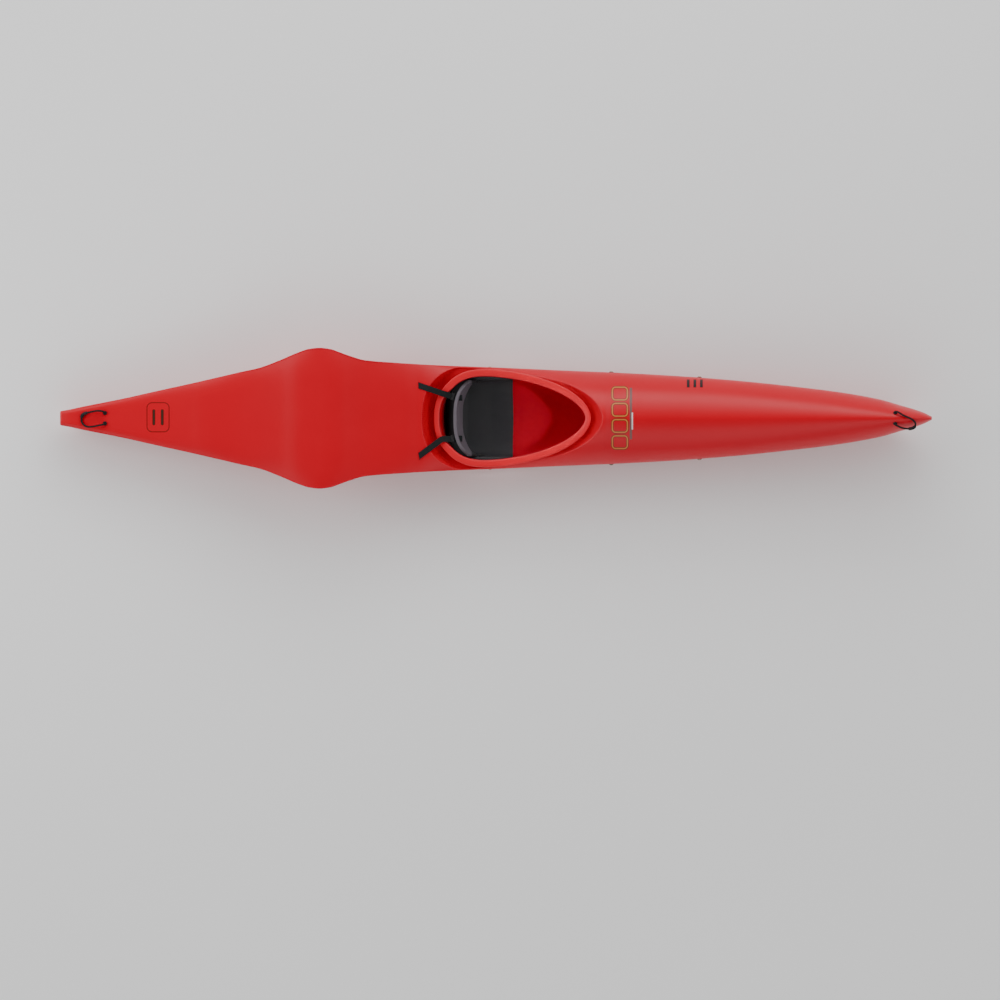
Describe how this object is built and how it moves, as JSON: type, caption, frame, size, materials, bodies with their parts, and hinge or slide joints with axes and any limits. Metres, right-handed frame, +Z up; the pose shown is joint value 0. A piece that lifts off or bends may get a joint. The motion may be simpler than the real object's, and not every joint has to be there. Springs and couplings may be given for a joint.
{
  "type": "whitewater kayak",
  "caption": "Slender whitewater racing kayak with raised side wings, egg-shaped cockpit, moulded seat, hinged back band, sliding foot braces and rope grab loops.",
  "frame": {"origin": "under the middle of the boat, at the height of the flat of the keel", "axes": "+X towards the bow, +Y to port, +Z up"},
  "size_m": [3.71, 0.6, 0.3406],
  "materials": {
    "shell_red": "glossy red laminate with a clear gel coat",
    "seat_black": "moulded black plastic with a fine grain",
    "band_grey": "smooth grey plastic plate",
    "webbing_black": "woven black webbing",
    "buckle_black": "moulded black plastic, satin",
    "screw_steel": "dull stainless steel",
    "washer_rubber": "black rubber",
    "rail_aluminium": "anodised aluminium",
    "foam_grey": "closed-cell foam with fine cells",
    "rope_black": "braided black cord"
  },
  "bodies": {
    "root": {"hull_shell": "shell_red", "deck_aft": "shell_red", "deck_cockpit": "shell_red", "deck_fore": "shell_red", "deck_bow": "shell_red", "cockpit_coaming": "shell_red", "front_foam_pillar": "foam_grey", "rear_foam_pillar": "foam_grey", "seat_pan": "seat_black", "seat_screw_left": "screw_steel", "seat_washer_left": "washer_rubber", "seat_nut_left": "screw_steel", "seat_screw_right": "screw_steel", "seat_washer_right": "washer_rubber", "seat_nut_right": "screw_steel", "backrest_pivot_screw_left": "screw_steel", "backrest_pivot_nut_left": "screw_steel", "backrest_pivot_screw_right": "screw_steel", "backrest_pivot_nut_right": "screw_steel", "backrest_strap_left": "webbing_black", "backrest_strap_right": "webbing_black", "strap_buckle_left": "buckle_black", "strap_buckle_right": "buckle_black", "foot_rail_left": "rail_aluminium", "rail_rear_screw_left": "screw_steel", "rail_rear_washer_left": "washer_rubber", "rail_rear_nut_left": "screw_steel", "rail_front_screw_left": "screw_steel", "rail_front_washer_left": "washer_rubber", "rail_front_nut_left": "screw_steel", "foot_rail_right": "rail_aluminium", "rail_rear_screw_right": "screw_steel", "rail_rear_washer_right": "washer_rubber", "rail_rear_nut_right": "screw_steel", "rail_front_screw_right": "screw_steel", "rail_front_washer_right": "washer_rubber", "rail_front_nut_right": "screw_steel", "stern_loop_eyelet_left": "buckle_black", "stern_loop_knot_left": "rope_black", "stern_loop_eyelet_right": "buckle_black", "stern_loop_knot_right": "rope_black", "bow_loop_eyelet_left": "buckle_black", "bow_loop_knot_left": "rope_black", "bow_loop_eyelet_right": "buckle_black", "bow_loop_knot_right": "rope_black"},
    "backrest": {"backrest_band": "band_grey"},
    "foot_brace_left": {"foot_slider_left": "seat_black", "foot_pedal_pin_left": "screw_steel"},
    "foot_brace_right": {"foot_slider_right": "seat_black", "foot_pedal_pin_right": "screw_steel"},
    "pedal_left": {"foot_pedal_left": "seat_black"},
    "pedal_right": {"foot_pedal_right": "seat_black"},
    "stern_loop": {"stern_grab_loop": "rope_black"},
    "bow_loop": {"bow_grab_loop": "rope_black"}
  },
  "joints": [
    {"name": "backrest_tilt", "type": "hinge", "parent": "root", "child": "backrest", "pos_m": [-0.06999, 0, 0.13], "axis": [0, 1, 0], "range_deg": [0, 20], "deforming": ["backrest_strap_left", "backrest_strap_right"]},
    {"name": "foot_slide_left", "type": "slide", "parent": "root", "child": "foot_brace_left", "axis": [0.9976, -0.0584, 0.0372], "range_m": [-0.1, 0.1]},
    {"name": "foot_slide_right", "type": "slide", "parent": "root", "child": "foot_brace_right", "axis": [0.9976, 0.0583, 0.0372], "range_m": [-0.1, 0.1]},
    {"name": "pedal_tilt_left", "type": "hinge", "parent": "foot_brace_left", "child": "pedal_left", "pos_m": [0.67818, 0.18325, 0.157], "axis": [0.0612, 0.995, -0.0785], "range_deg": [0, 20]},
    {"name": "pedal_tilt_right", "type": "hinge", "parent": "foot_brace_right", "child": "pedal_right", "pos_m": [0.67818, -0.18327, 0.157], "axis": [-0.061, 0.9952, 0.0761], "range_deg": [0, 20]},
    {"name": "stern_loop_lift", "type": "hinge", "parent": "root", "child": "stern_loop", "pos_m": [-1.66432, 0, 0.21048], "axis": [0, 1, 0], "range_deg": [0, 110]},
    {"name": "bow_loop_lift", "type": "hinge", "parent": "root", "child": "bow_loop", "pos_m": [1.69932, 0, 0.32674], "axis": [0, -1, 0], "range_deg": [0, 110]}
  ]
}
